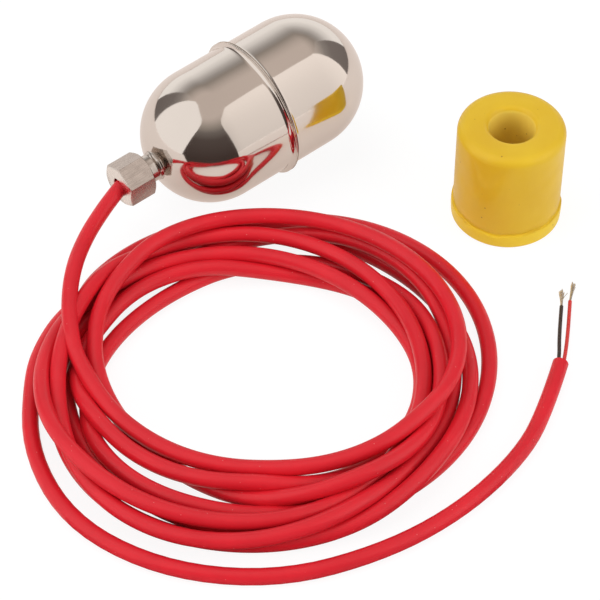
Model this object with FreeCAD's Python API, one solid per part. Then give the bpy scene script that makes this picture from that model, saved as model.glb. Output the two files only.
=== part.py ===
# Float level switch: a sealed steel float with a ball and a snap-action switch inside,
# a gland, a coiled two-core cable and the counterweight that slides on the cable.
# Millimetres. +Z is up. The float lies along +X, from its gland to its closed dome.
# The origin is on the floor, midway along and across the float and the counterweight.

import FreeCAD, Part
import math
import os

V = FreeCAD.Vector
X_AXIS = V(1, 0, 0)
Y_AXIS = V(0, 1, 0)
Z_AXIS = V(0, 0, 1)

# ---------------------------------------------------------------- driving dimensions
# float shells, deep drawn
body_r = 30.2
float_length = 107.6
shell_t = 0.7
seam_reach = 1.5          # how far the welded seam flange stands out of the body
seam_fillet = 0.7

# gland: a stem welded into one dome, with a nut that squeezes a rubber bush on the cable
stem_r = 5.9
stem_bore_r = 3.7
stem_inside = 6.0         # length of the stem inside the shell
stem_shoulder_r = 7.6
stem_shoulder_t = 2.0
collar_r = 7.4
collar_t = 1.7
neck_length = 5.0         # from the pole of the dome to the nut
thread_length = 6.0       # part of the stem that the nut covers
nut_flats = 18.0
nut_length = 13.5
nut_wall = 2.4            # end wall of the nut, round the cable
nut_face_r = 8.9          # radius of the flat ring at each end of the nut
nut_chamfer = 0.9
nut_near_chamfer = 0.5
nut_turn = 5.0            # degrees, how the flats stand round the axis
washer_t = 0.8

# cable
cable_r = 3.4
jacket_in_stem = 8.0      # length of the jacket inside the stem
core_r = 0.75
core_offset = 1.1         # from the middle of the jacket to the middle of each core
lead_straight = 4.7       # out of the nut before the cable bends
black_straight = 9.0      # of each core out of the jacket
red_straight = 11.0
strand_r = 0.5
strand_length = 11.0

# counterweight, cast and coated
weight_r = 23.3
weight_height = 51.0
weight_foot_r = 24.1
weight_foot_height = 7.0
weight_bore_r = 10.0
weight_mouth_radius = 1.8
weight_edge_radius = 3.0
weight_ahead = 68.0       # where it stands, from the middle of the float
weight_aside = 93.0

# steel ball in its race
ball_r = 8.0
ball_travel = 16.0
race_wall = 2.4
race_end_t = 2.0

# snap-action switch
switch_depth = 10.0
switch_height = 20.0
switch_wall = 1.0
switch_half_width = 3.2
switch_cover_t = 1.0
switch_face_x = -12.0     # the face that the plunger comes out of
plunger_r = 1.0
plunger_head_r = 1.5
plunger_head_t = 0.8
plunger_nose_r = 0.8
plunger_nose = 1.6
plunger_out = 0.5         # how far the pressed plunger still stands out
plunger_travel = 0.75
plunger_z = -3.0
arm_t = 0.3
arm_half_width = 1.2
arm_pivot_r = 0.4
arm_pivot_z = -7.8
arm_tip_z = 7.0
contact_z = 6.0
contact_r = 0.9
contact_t = 0.3
tab_t = 0.5
tab_half_width = 1.6
tab_reach = 5.0           # terminals behind the switch
tab_lead_straight = 6.0   # of each inner lead behind its terminal
stem_lead_straight = 5.0  # of each inner lead in front of the stem
spare_tab_z = 8.1
lever_t = 0.5
lever_half_width = 1.8
lever_tip_z = 6.0
lever_pin_r = 0.5
lever_pin_z = -8.6
lever_pin_out = 1.2       # pin's middle in front of the switch face
lever_eye_wall = 0.45
ear_t = 1.0
ear_half_height = 1.3

# carrier: two moulded halves that hold the race and the switch
carrier_disc_t = 2.0
carrier_disc_x = 30.0     # outer face of each disc from the seam, inside the domes
carrier_bay_wall = 2.0
carrier_bay_room = 2.0    # more round the corners of the square bay
carrier_wire_ledge = 1.0  # that the bay is narrower behind the switch, each side
carrier_wire_step = 0.6   # and above and below
carrier_hole_r = 4.2
carrier_hole_pitch = 20.5
joint_plate_t = 2.0
joint_plate_width = 9.0
joint_plate_length = 18.0
screw_r = 1.2
screw_head_r = 2.3
screw_head_t = 1.6
screw_pitch = 12.0
screw_inset = 0.6         # from the middle of each joint plate towards the race

# coil of cable
coil_behind = 75.2        # where its middle lies, from the middle of the float
coil_aside = 107.0
coil_mean_r = 74.5
coil_half_width = 17.0
coil_height = 24.0

# clearances
overcut = 1.0             # how far a cutter runs past the face that it leaves
pin_clearance = 0.06      # radial, for pins and the plunger
touch_gap = 0.1           # between pieces that press on each other through the mechanism
ball_clearance = 0.3
seat_clearance = 0.2
cable_clearance = 0.3

# ---------------------------------------------------------------- worked out from them
straight_half = float_length / 2 - body_r
seam_r = body_r + seam_reach
pole_x = float_length / 2
nut_near_x = -(pole_x + neck_length)
nut_end_x = nut_near_x - nut_length
stem_end_x = nut_near_x - thread_length
jacket_end_x = nut_near_x + jacket_in_stem - thread_length
nut_corner_r = nut_flats / 2 / math.cos(math.pi / 6)

# the float rests on its seam flange and on the gland-side dome, so its closed end is raised
tilt = 0.0
for _ in range(30):
    tilt = math.asin((seam_r * math.cos(tilt) - body_r) / straight_half)
seam_z = seam_r * math.cos(tilt)

gland_reach = -nut_end_x * math.cos(tilt) + nut_face_r * math.sin(tilt)
float_place = V((gland_reach - weight_ahead - weight_foot_r) / 2,
                (weight_foot_r + weight_aside - seam_r) / 2, seam_z)
weight_place = V(float_place.x + weight_ahead, float_place.y - weight_aside, 0)
coil_place = V(float_place.x - coil_behind, float_place.y - coil_aside, 0)

lever_back_x = switch_face_x + plunger_out + touch_gap
lever_front_x = lever_back_x + lever_t
lever_pin_x = switch_face_x + lever_pin_out
ball_rest_x = lever_front_x + touch_gap + ball_r
race_r = ball_r + ball_clearance
race_end_x = ball_rest_x + ball_travel + ball_r + ball_clearance
switch_back_x = switch_face_x - switch_depth
carrier_disc_r = math.sqrt((body_r - shell_t) ** 2 - (carrier_disc_x - straight_half) ** 2) - seat_clearance
bay_front_x = lever_pin_x + lever_pin_r + lever_eye_wall + pin_clearance + ball_clearance
plunger_head_x = switch_face_x - switch_wall - touch_gap - plunger_travel
plunger_nose_x = plunger_head_x - plunger_head_t - plunger_nose
arm_front_x = plunger_nose_x - touch_gap
arm_back_x = arm_front_x - arm_t
arm_pivot_x = arm_front_x - arm_t / 2
arm_lift = contact_z + contact_r - arm_pivot_z
spare_stud_x = arm_front_x + arm_lift * plunger_travel / (plunger_z - arm_pivot_z) + touch_gap
tab_end_x = switch_back_x - tab_reach


# ---------------------------------------------------------------- helpers
def seat(shape):
    """Move a piece from the float's own axes to its place on the floor."""
    placed = shape.copy()
    placed.rotate(V(0, 0, 0), Y_AXIS, -math.degrees(tilt))
    placed.translate(float_place)
    return placed


def seated_point(x, y=0.0, z=0.0):
    """The same move for one point of the float."""
    return V(x * math.cos(tilt) - z * math.sin(tilt), y,
             x * math.sin(tilt) + z * math.cos(tilt)) + float_place


def rod(r, x_from, x_to, y=0.0, z=0.0):
    """Round bar along the float's axis."""
    return Part.makeCylinder(r, x_to - x_from, V(x_from, y, z), X_AXIS)


def cross_rod(r, y_from, y_to, x, z):
    """Round bar across the float."""
    return Part.makeCylinder(r, y_to - y_from, V(x, y_from, z), Y_AXIS)


def block(x_from, x_to, y_from, y_to, z_from, z_to):
    return Part.makeBox(x_to - x_from, y_to - y_from, z_to - z_from, V(x_from, y_from, z_from))


def turned(edges):
    """Solid of revolution about the float's axis from edges in its X-Y half plane."""
    outline = Part.Wire([edge.toShape() for edge in edges])
    return Part.Face(outline).revolve(V(0, 0, 0), X_AXIS, 360)


def line(a, b):
    return Part.LineSegment(a, b)


def tube(route, r, label):
    """Round tube of straight runs joined by tangent arcs, as wide as the runs allow."""
    edges = []
    radii = []
    start = route[0]
    for before, corner, after in zip(route, route[1:], route[2:]):
        back = before - corner
        ahead = after - corner
        run = min(back.Length, ahead.Length)
        half_turn = (math.pi - back.getAngle(ahead)) / 2
        setback = 0.45 * run
        arc_r = setback / math.tan(half_turn)
        back.normalize()
        ahead.normalize()
        inward = (back + ahead).normalize()
        arc_from = corner + back * setback
        arc_to = corner + ahead * setback
        arc_mid = corner + inward * (math.hypot(arc_r, setback) - arc_r)
        edges.append(line(start, arc_from).toShape())
        edges.append(Part.Arc(arc_from, arc_mid, arc_to).toShape())
        radii.append(round(arc_r, 1))
        start = arc_to
    edges.append(line(start, route[-1]).toShape())
    path = Part.Wire(edges)
    heading = route[1] - route[0]
    section = Part.Wire([Part.makeCircle(r, route[0], heading)])
    solid = path.makePipeShell([section], True, False)
    print(label, "length", round(path.Length, 1), "arc radii", radii,
          "volume ratio", round(solid.Volume / (math.pi * r * r * path.Length), 4))
    return solid


# ---------------------------------------------------------------- float shells
def drawn_shell(side):
    """One deep-drawn dome with its seam flange; side is +1 for the closed end, -1 for the gland."""
    inner_r = body_r - shell_t
    root = shell_t + seam_fillet
    bend = seam_fillet * (1 - math.sqrt(0.5))

    def at(x, y):
        return V(side * x, y, 0)

    diagonal = math.sqrt(0.5)
    edges = [
        Part.Arc(at(pole_x, 0), at(straight_half + body_r * diagonal, body_r * diagonal),
                 at(straight_half, body_r)),
        line(at(straight_half, body_r), at(root, body_r)),
        Part.Arc(at(root, body_r), at(shell_t + bend, body_r + bend),
                 at(shell_t, body_r + seam_fillet)),
        line(at(shell_t, body_r + seam_fillet), at(shell_t, seam_r)),
        line(at(shell_t, seam_r), at(0, seam_r)),
        line(at(0, seam_r), at(0, inner_r)),
        line(at(0, inner_r), at(straight_half, inner_r)),
        Part.Arc(at(straight_half, inner_r),
                 at(straight_half + inner_r * diagonal, inner_r * diagonal),
                 at(pole_x - shell_t, 0)),
        line(at(pole_x - shell_t, 0), at(pole_x, 0)),
    ]
    return turned(edges)


def shell_gland():
    hole = rod(stem_r, -pole_x - shell_t, -pole_x + stem_inside)
    return drawn_shell(-1).cut(hole)


def shell_dome():
    return drawn_shell(1)


# ---------------------------------------------------------------- gland
def gland_stem():
    """Turned stem with a collar seated on the dome outside and a shoulder under it inside."""
    inner_end_x = -pole_x + stem_inside
    dome_centre = V(-straight_half, 0, 0)
    collar = rod(collar_r, -pole_x - collar_t, -pole_x + collar_r)
    collar = collar.cut(Part.makeSphere(body_r, dome_centre))
    collar = collar.cut(rod(body_r, -pole_x + collar_t, 0))
    shoulder = rod(stem_shoulder_r, -pole_x - shell_t, -pole_x + shell_t + stem_shoulder_t)
    shoulder = shoulder.common(Part.makeSphere(body_r - shell_t, dome_centre))
    stem = rod(stem_r, stem_end_x, inner_end_x).fuse([collar, shoulder])
    return stem.cut(rod(stem_bore_r, stem_end_x - overcut, inner_end_x + overcut)).removeSplitter()


def gland_nut():
    """Hexagon nut with turned chamfers, a threaded pocket and a plain hole for the cable."""
    corners = []
    for k in range(7):
        angle = math.radians(nut_turn + 30 + 60 * k)
        corners.append(V(nut_end_x, nut_corner_r * math.cos(angle), nut_corner_r * math.sin(angle)))
    prism = Part.Face(Part.makePolygon(corners)).extrude(X_AXIS * nut_length)
    outline = [V(nut_end_x, 0, 0), V(nut_end_x, nut_face_r, 0),
               V(nut_end_x + nut_chamfer, nut_corner_r, 0),
               V(nut_near_x - nut_near_chamfer, nut_corner_r, 0), V(nut_near_x, nut_face_r, 0),
               V(nut_near_x, 0, 0)]
    turned_blank = Part.Face(Part.makePolygon(outline + outline[:1])).revolve(V(0, 0, 0), X_AXIS, 360)
    pocket = rod(stem_r, nut_end_x + nut_wall, nut_near_x + overcut)
    hole = rod(cable_r + cable_clearance, nut_end_x - overcut, nut_near_x)
    return prism.common(turned_blank).cut(pocket).cut(hole)


def gland_washer():
    ring = rod(stem_r - cable_clearance, nut_end_x + nut_wall, nut_end_x + nut_wall + washer_t)
    return ring.cut(rod(cable_r + cable_clearance, nut_end_x, nut_near_x))


def gland_seal():
    """Rubber bush that fills the space between the washer and the stem."""
    bush = rod(stem_r - cable_clearance, nut_end_x + nut_wall + washer_t, stem_end_x)
    return bush.cut(rod(cable_r, nut_end_x, nut_near_x))


# ---------------------------------------------------------------- carrier, race and ball
def carrier_whole():
    """Moulding before it is parted: race tube, switch bay, end discs and joint plates."""
    bay_r = switch_height / 2 + seat_clearance + carrier_bay_wall + carrier_bay_room
    inner_face = carrier_disc_x - carrier_disc_t
    body = rod(race_r + race_wall, bay_front_x, inner_face)
    body = body.fuse([
        rod(bay_r, -inner_face, bay_front_x + carrier_bay_wall),
        rod(carrier_disc_r, -carrier_disc_x, -inner_face),
        rod(carrier_disc_r, inner_face, carrier_disc_x),
        block(race_end_x - joint_plate_length, race_end_x,
              -(race_r + joint_plate_width), race_r + joint_plate_width,
              -joint_plate_t, joint_plate_t),
    ])
    half = switch_half_width + seat_clearance
    tall = switch_height / 2 + seat_clearance
    race = rod(race_r, bay_front_x - overcut, race_end_x)
    bay = block(switch_back_x - seat_clearance, bay_front_x, -half, half, -tall, tall)
    wire_half = half - carrier_wire_ledge
    wire_tall = tall - carrier_wire_step
    wires = block(-carrier_disc_x - overcut, switch_back_x, -wire_half, wire_half, -wire_tall, wire_tall)
    hollow_end = rod(race_r, race_end_x + race_end_t, carrier_disc_x + overcut)
    body = body.cut([race, bay, wires, hollow_end])
    holes = []
    for k in range(6):
        angle = math.radians(30 + 60 * k)
        y = carrier_hole_pitch * math.cos(angle)
        z = carrier_hole_pitch * math.sin(angle)
        holes.append(rod(carrier_hole_r, -carrier_disc_x - overcut, -inner_face, y, z))
        holes.append(rod(carrier_hole_r, inner_face, carrier_disc_x + overcut, y, z))
    return body.cut(holes)


def screw_places():
    middle = race_end_x - joint_plate_length / 2
    y = race_r + race_wall + joint_plate_width / 2 - screw_inset
    return [(middle + side * screw_pitch / 2, other * y) for side in (-1, 1) for other in (-1, 1)]


def carrier_half(side):
    """side is -1 for the lower half and +1 for the upper half."""
    low, high = (-body_r, 0) if side < 0 else (0, body_r)
    half = carrier_whole().common(block(-pole_x, pole_x, -body_r, body_r, low, high))
    for x, y in screw_places():
        half = half.cut(Part.makeCylinder(screw_r, 2 * body_r, V(x, y, -body_r)))
    return half


def carrier_screws():
    screws = []
    for x, y in screw_places():
        shank = Part.makeCylinder(screw_r, 2 * joint_plate_t, V(x, y, -joint_plate_t))
        head = Part.makeCylinder(screw_head_r, screw_head_t, V(x, y, joint_plate_t))
        screws.append(shank.fuse(head).removeSplitter())
    return Part.Compound(screws)


def steel_ball():
    return Part.makeSphere(ball_r, V(ball_rest_x, 0, 0))


# ---------------------------------------------------------------- snap-action switch
def switch_case():
    """Open tray with one ear for the lever pin and slots for the terminals."""
    tall = switch_height / 2
    inner = tall - switch_wall
    cover_y = switch_half_width - switch_cover_t
    case = block(switch_back_x, switch_face_x, -switch_half_width, cover_y, -tall, tall)
    case = case.cut(block(switch_back_x + switch_wall, switch_face_x - switch_wall,
                          -switch_half_width + switch_wall, cover_y + overcut, -inner, inner))
    case = case.fuse(pin_ear(-switch_half_width))
    case = case.cut(rod(plunger_r + pin_clearance, switch_face_x - 2 * switch_wall,
                        switch_face_x + overcut, 0, plunger_z))
    for z in (arm_pivot_z, contact_z, spare_tab_z):
        case = case.cut(block(switch_back_x - overcut, switch_back_x + 2 * switch_wall,
                              -tab_half_width, tab_half_width, z, z + tab_t))
    return case.cut(lever_pin())


def pin_ear(y_from):
    return block(switch_face_x, lever_pin_x + lever_pin_r + lever_eye_wall,
                 y_from, y_from + ear_t, lever_pin_z - ear_half_height, lever_pin_z + ear_half_height)


def switch_cover():
    tall = switch_height / 2
    cover_y = switch_half_width - switch_cover_t
    plate = block(switch_back_x, switch_face_x, cover_y, switch_half_width, -tall, tall)
    return plate.fuse(pin_ear(switch_half_width - ear_t)).removeSplitter().cut(lever_pin())


def lever_pin():
    return cross_rod(lever_pin_r, -switch_half_width, switch_half_width, lever_pin_x, lever_pin_z)


def switch_lever():
    """Spring-steel plate with a rolled eye round its pin; the ball leans on its front."""
    eye_r = lever_pin_r + pin_clearance + lever_eye_wall
    eye = cross_rod(eye_r, -lever_half_width, lever_half_width, lever_pin_x, lever_pin_z)
    plate = block(lever_back_x, lever_front_x, -lever_half_width, lever_half_width,
                  lever_pin_z, lever_tip_z)
    bore = cross_rod(lever_pin_r + pin_clearance, -lever_half_width - overcut, lever_half_width + overcut,
                     lever_pin_x, lever_pin_z)
    return plate.fuse(eye).cut(bore).removeSplitter()


def switch_plunger():
    """Button with a head that keeps it in the case and a round end on each side."""
    tip_x = switch_face_x + plunger_out - plunger_r
    nose_x = plunger_nose_x + plunger_nose_r
    shaft = rod(plunger_r, plunger_head_x, tip_x, 0, plunger_z)
    tip = Part.makeSphere(plunger_r, V(tip_x, 0, plunger_z))
    head = rod(plunger_head_r, plunger_head_x - plunger_head_t, plunger_head_x, 0, plunger_z)
    nose = rod(plunger_nose_r, nose_x, plunger_head_x - plunger_head_t, 0, plunger_z)
    nose_end = Part.makeSphere(plunger_nose_r, V(nose_x, 0, plunger_z))
    return shaft.fuse([tip, head, nose, nose_end]).removeSplitter()


def contact_arm():
    """Moving contact: a strip with a rolled end on the common terminal's pivot."""
    eye_r = arm_pivot_r + pin_clearance + arm_t
    eye = cross_rod(eye_r, -arm_half_width, arm_half_width, arm_pivot_x, arm_pivot_z + tab_t / 2)
    strip = block(arm_back_x, arm_front_x, -arm_half_width, arm_half_width,
                  arm_pivot_z + tab_t / 2, arm_tip_z)
    bore = cross_rod(arm_pivot_r + pin_clearance, -arm_half_width - overcut, arm_half_width + overcut,
                     arm_pivot_x, arm_pivot_z + tab_t / 2)
    return strip.fuse(eye).cut(bore).removeSplitter()


def terminal_common():
    """Tab that forks round the contact arm's eye and carries the pivot across the fork."""
    eye_room = arm_pivot_r + pin_clearance + arm_t + touch_gap
    fork_x = arm_pivot_x - eye_room
    tip_x = arm_pivot_x + arm_pivot_r
    tab = block(tab_end_x, fork_x, -tab_half_width, tab_half_width, arm_pivot_z, arm_pivot_z + tab_t)
    pieces = []
    for y in (-tab_half_width, arm_half_width + touch_gap):
        pieces.append(block(fork_x - tab_t, tip_x, y, y + tab_half_width - arm_half_width - touch_gap,
                            arm_pivot_z, arm_pivot_z + tab_t))
    pieces.append(cross_rod(arm_pivot_r, -tab_half_width, tab_half_width,
                            arm_pivot_x, arm_pivot_z + tab_t / 2))
    return tab.fuse(pieces).removeSplitter()


def terminal_live():
    """Tab with the fixed contact that the arm is pressed on."""
    stud_x = arm_back_x - touch_gap
    tab = block(tab_end_x, stud_x - contact_t, -tab_half_width, tab_half_width,
                contact_z, contact_z + tab_t)
    upright = block(stud_x - contact_t - tab_t, stud_x - contact_t, -tab_half_width, tab_half_width,
                    contact_z - contact_r, contact_z + contact_r)
    stud = rod(contact_r, stud_x - contact_t, stud_x, 0, contact_z)
    return tab.fuse([upright, stud]).removeSplitter()


def terminal_spare():
    """Unwired tab that bends round in front of the arm and stops it when the ball has rolled away."""
    front_x = spare_stud_x + contact_t + tab_t
    tab = block(tab_end_x, front_x, -tab_half_width, tab_half_width, spare_tab_z, spare_tab_z + tab_t)
    drop = block(front_x - tab_t, front_x, -tab_half_width, tab_half_width,
                 contact_z - contact_r, spare_tab_z + tab_t)
    stud = rod(contact_r, spare_stud_x, spare_stud_x + contact_t, 0, contact_z)
    return tab.fuse([drop, stud]).removeSplitter()


def inner_lead(tab_z, y, label):
    """Core from a terminal to the end of the jacket in the stem."""
    mouth_x = -pole_x + stem_inside
    route = [V(tab_end_x, 0, tab_z), V(tab_end_x - tab_lead_straight, 0, tab_z),
             V(mouth_x + stem_lead_straight, y, 0), V(jacket_end_x, y, 0)]
    return tube(route, core_r, label)


# ---------------------------------------------------------------- cable outside
# Routes over the floor. They run on from the float's gland and end at the bared cores.
lead_route = [
    seated_point(jacket_end_x),
    seated_point(nut_end_x - lead_straight),
    V(-105.0, 32.8, 24.5),
    V(-121.0, 21.0, 23.5),
    V(-134.5, 5.5, 23.5),
    V(-144.0, -11.0, 22.5),
    V(-148.5, -27.0, 19.0),
]
tail_route = [
    V(-124.0, 5.0, 3.4),
    V(-161.0, -6.0, 3.4),
    V(-184.5, -37.5, 3.4),
    V(-192.0, -78.5, 3.4),
    V(-176.5, -119.0, 3.4),
    V(-144.5, -150.0, 3.4),
    V(-104.0, -164.5, 3.4),
    V(-66.0, -167.5, 3.4),
    V(-28.0, -160.5, 3.4),
    V(-3.0, -146.8, 3.4),
    V(15.1, -134.1, 3.4),
]
tail_end = tail_route[-1]
tail_heading = (tail_end - tail_route[-2]).normalize()
tail_across = V(-tail_heading.y, tail_heading.x, 0)
core_black_route = [
    tail_end + tail_across * core_offset,
    tail_end + tail_across * core_offset + tail_heading * black_straight,
    V(30.2, -118.6, 2.6),
    V(37.6, -109.8, 2.0),
]
core_red_route = [
    tail_end - tail_across * core_offset,
    tail_end - tail_across * core_offset + tail_heading * red_straight,
    V(33.5, -119.9, 2.2),
    V(41.9, -110.3, 1.4),
]


def cable_coil():
    """The loose turns of the coil as one ring with an oval section."""
    middle = V(coil_mean_r, 0, coil_height / 2)
    wide = max(coil_half_width, coil_height / 2)
    narrow = min(coil_half_width, coil_height / 2)
    oval = Part.Ellipse(middle, wide, narrow)
    oval.Axis = V(0, -1, 0)
    oval.XAxis = X_AXIS if coil_half_width >= coil_height / 2 else Z_AXIS
    ring = Part.Face(Part.Wire([oval.toShape()])).revolve(V(0, 0, 0), Z_AXIS, 360)
    ring.translate(coil_place)
    return ring


def strands(route):
    """The bared copper of a core, as one straight bundle."""
    ahead = (route[-1] - route[-2]).normalize()
    return Part.makeCylinder(strand_r, strand_length, route[-1], ahead)


# ---------------------------------------------------------------- counterweight
def counterweight():
    """Cast weight with a through bore, eased edges and a foot left by its mould."""
    body = Part.makeCylinder(weight_r, weight_height)
    foot = Part.makeCylinder(weight_foot_r, weight_foot_height)
    cast = body.fuse(foot)
    bore = Part.makeCylinder(weight_bore_r, weight_height)
    cast = cast.cut(bore).removeSplitter()
    mouth = []
    rim = []
    for edge in cast.Edges:
        if not isinstance(edge.Curve, Part.Circle) or abs(edge.Vertexes[0].Z - weight_height) > 1e-6:
            continue
        (mouth if edge.Curve.Radius < (weight_bore_r + weight_r) / 2 else rim).append(edge)
    cast = cast.makeFillet(weight_mouth_radius, mouth)
    rim = [edge for edge in cast.Edges if isinstance(edge.Curve, Part.Circle)
           and abs(edge.Curve.Radius - weight_r) < 1e-6
           and abs(edge.Vertexes[0].Z - weight_height) < 1e-6]
    cast = cast.makeFillet(weight_edge_radius, rim)
    cast.translate(weight_place)
    return cast


# ---------------------------------------------------------------- write the pieces
def pieces():
    inside = {
        "float_shell_gland": shell_gland(),
        "float_shell_dome": shell_dome(),
        "gland_stem": gland_stem(),
        "gland_nut": gland_nut(),
        "gland_washer": gland_washer(),
        "gland_seal": gland_seal(),
        "carrier_lower": carrier_half(-1),
        "carrier_upper": carrier_half(1),
        "carrier_screws": carrier_screws(),
        "steel_ball": steel_ball(),
        "switch_case": switch_case(),
        "switch_cover": switch_cover(),
        "lever_pin": lever_pin(),
        "switch_lever": switch_lever(),
        "switch_plunger": switch_plunger(),
        "contact_arm": contact_arm(),
        "terminal_common": terminal_common(),
        "terminal_live": terminal_live(),
        "terminal_spare": terminal_spare(),
        "inner_lead_black": inner_lead(arm_pivot_z + tab_t / 2, -core_offset, "inner lead black"),
        "inner_lead_red": inner_lead(contact_z + tab_t / 2, core_offset, "inner lead red"),
    }
    built = {name: seat(shape) for name, shape in inside.items()}
    built["cable_lead"] = tube(lead_route, cable_r, "cable lead")
    built["cable_coil"] = cable_coil()
    built["cable_tail"] = tube(tail_route, cable_r, "cable tail")
    built["core_black"] = tube(core_black_route, core_r, "core black")
    built["core_red"] = tube(core_red_route, core_r, "core red")
    built["strands_black"] = strands(core_black_route)
    built["strands_red"] = strands(core_red_route)
    built["counterweight"] = counterweight()
    return built


os.makedirs("parts", exist_ok=True)
for name, shape in pieces().items():
    shape.exportStep("parts/" + name + ".step")
    print(name, "solids", len(shape.Solids), "valid", shape.isValid(), "volume", round(shape.Volume, 1))
print("tilt in degrees", round(math.degrees(tilt), 3), "float at", float_place, "weight at", weight_place)
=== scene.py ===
import math

import bmesh
import bpy
import numpy as np
from mathutils import Matrix, Vector


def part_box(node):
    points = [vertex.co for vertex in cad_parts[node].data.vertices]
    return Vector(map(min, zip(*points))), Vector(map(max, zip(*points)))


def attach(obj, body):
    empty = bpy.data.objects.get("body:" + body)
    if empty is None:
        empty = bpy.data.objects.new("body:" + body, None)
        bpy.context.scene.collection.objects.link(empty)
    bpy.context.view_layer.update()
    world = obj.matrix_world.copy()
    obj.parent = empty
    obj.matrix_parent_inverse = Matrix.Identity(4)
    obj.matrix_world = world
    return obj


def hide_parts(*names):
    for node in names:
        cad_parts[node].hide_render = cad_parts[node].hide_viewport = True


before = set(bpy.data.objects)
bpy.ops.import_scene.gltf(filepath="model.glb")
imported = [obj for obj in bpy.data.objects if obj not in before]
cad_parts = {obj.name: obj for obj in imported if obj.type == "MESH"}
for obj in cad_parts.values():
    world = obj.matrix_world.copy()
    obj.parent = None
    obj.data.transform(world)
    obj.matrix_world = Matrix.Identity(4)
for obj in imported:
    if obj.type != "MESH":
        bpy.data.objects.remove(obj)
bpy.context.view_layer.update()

# ---------------------------------------------------------------- float shells
# Two cups of stainless steel, deep drawn, polished to a mirror and welded lip to lip at the
# middle, so that the float is sealed. Drawing leaves the wall very slightly uneven.

body_r = 0.0302
float_length = 0.1076
shell_t = 0.0007
seam_reach = 0.0015
lip_round = 0.00032
lip_fillet = 0.0018
stem_r = 0.0059
large_sides = 192
crease = math.radians(32)
polished_colour = (0.76, 0.705, 0.655)
straight_half = float_length / 2 - body_r
pole_x = float_length / 2
seam_r = body_r + seam_reach

# The float leans on the dome at its gland and on its seam, so its closed end is raised. Each
# round of the loop brings the tilt nearer to the angle at which both of them touch the table.
float_tilt = 0.0
for _ in range(30):
    float_tilt = math.asin((seam_r * math.cos(float_tilt) - body_r) / straight_half)
dome_low, dome_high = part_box("float_shell_dome")
float_middle = Vector((dome_high.x - body_r - straight_half * math.cos(float_tilt),
                       (dome_low.y + dome_high.y) / 2, seam_r * math.cos(float_tilt)))
float_axes = Matrix.Translation(float_middle) @ Matrix.Rotation(-float_tilt, 4, "Y")


def arc(centre_x, centre_r, radius, from_degrees, to_degrees, steps):
    """Points of an arc in an outline; degrees run from along the axis to straight out."""
    found = []
    for k in range(steps + 1):
        angle = math.radians(from_degrees + (to_degrees - from_degrees) * k / steps)
        found.append((centre_x + radius * math.cos(angle), centre_r + radius * math.sin(angle)))
    return found


def placed(name, data):
    """This mesh, curve, lamp or camera stands in the scene under this name."""
    thing = bpy.data.objects.new(name, data)
    bpy.context.scene.collection.objects.link(thing)
    return thing


def turned(name, outline, finish, place, sides):
    """A body of revolution about X. The outline, pairs of place and radius, closes on itself
    and may be a function of the angle."""
    rings = []
    for k in range(sides):
        rings.append(outline(2 * math.pi * k / sides) if callable(outline) else outline)
    count = len(rings[0])
    places = []
    index = {}
    for k, ring in enumerate(rings):
        angle = 2 * math.pi * k / sides
        for n, (x, r) in enumerate(ring):
            if r > 0 or k == 0:
                index[k, n] = len(places)
                places.append((x, r * math.cos(angle), r * math.sin(angle)))
            else:
                index[k, n] = index[0, n]
    faces = []
    for k in range(sides):
        after = (k + 1) % sides
        for n in range(count):
            beyond = (n + 1) % count
            corners = [index[k, n], index[k, beyond], index[after, beyond], index[after, n]]
            face = [c for m, c in enumerate(corners) if c != corners[m - 1]]
            if len(face) > 2:
                faces.append(face)
    mesh = bpy.data.meshes.new(name)
    mesh.from_pydata(places, [], faces)
    mesh.transform(place)
    mesh.update()
    tidy = bmesh.new()
    tidy.from_mesh(mesh)
    bmesh.ops.recalc_face_normals(tidy, faces=tidy.faces)
    tidy.to_mesh(mesh)
    tidy.free()
    mesh.shade_smooth()
    mesh.set_sharp_from_angle(angle=crease)
    mesh.materials.append(finish.material)
    return placed(name, mesh)


def stands_for(piece, node, body="root"):
    """The piece takes the place of a piece of the frame."""
    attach(piece, body)
    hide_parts(node)


def shell_outline(side, hole_r):
    """Section of one cup, from its pole over the outside to the lip and back inside."""
    inner_r = body_r - shell_t
    outer_start = math.degrees(math.asin(hole_r / body_r))
    inner_end = math.degrees(math.asin(hole_r / inner_r))
    outer = arc(straight_half, 0, body_r, outer_start, 90, 40)
    wall = [(straight_half * k / 8, body_r) for k in range(7, 0, -1)]
    root_x = shell_t + lip_fillet
    fillet = []
    for degrees in range(0, 91, 15):
        turn = math.radians(degrees)
        fillet.append((root_x - lip_fillet * math.sin(turn), body_r + lip_fillet * (1 - math.cos(turn))))
    lip = arc(shell_t - lip_round, seam_r - lip_round, lip_round, 0, 90, 4)
    lip += arc(lip_round, seam_r - lip_round, lip_round, 90, 180, 4)
    inner = [(0.0, inner_r)] + arc(straight_half, 0, inner_r, 90, inner_end, 24)
    return [(side * x, r) for x, r in outer + wall + fillet + lip + inner]


def group_of(name, inputs, outputs):
    """An empty node group with named sockets, and its input and output nodes."""
    group = bpy.data.node_groups.new(name, "ShaderNodeTree")
    for label, kind, value in inputs:
        socket = group.interface.new_socket(name=label, in_out="INPUT", socket_type=kind)
        if value is not None:
            socket.default_value = value
    for label, kind in outputs:
        group.interface.new_socket(name=label, in_out="OUTPUT", socket_type=kind)
    return group, group.nodes.new("NodeGroupInput"), group.nodes.new("NodeGroupOutput")


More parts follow.
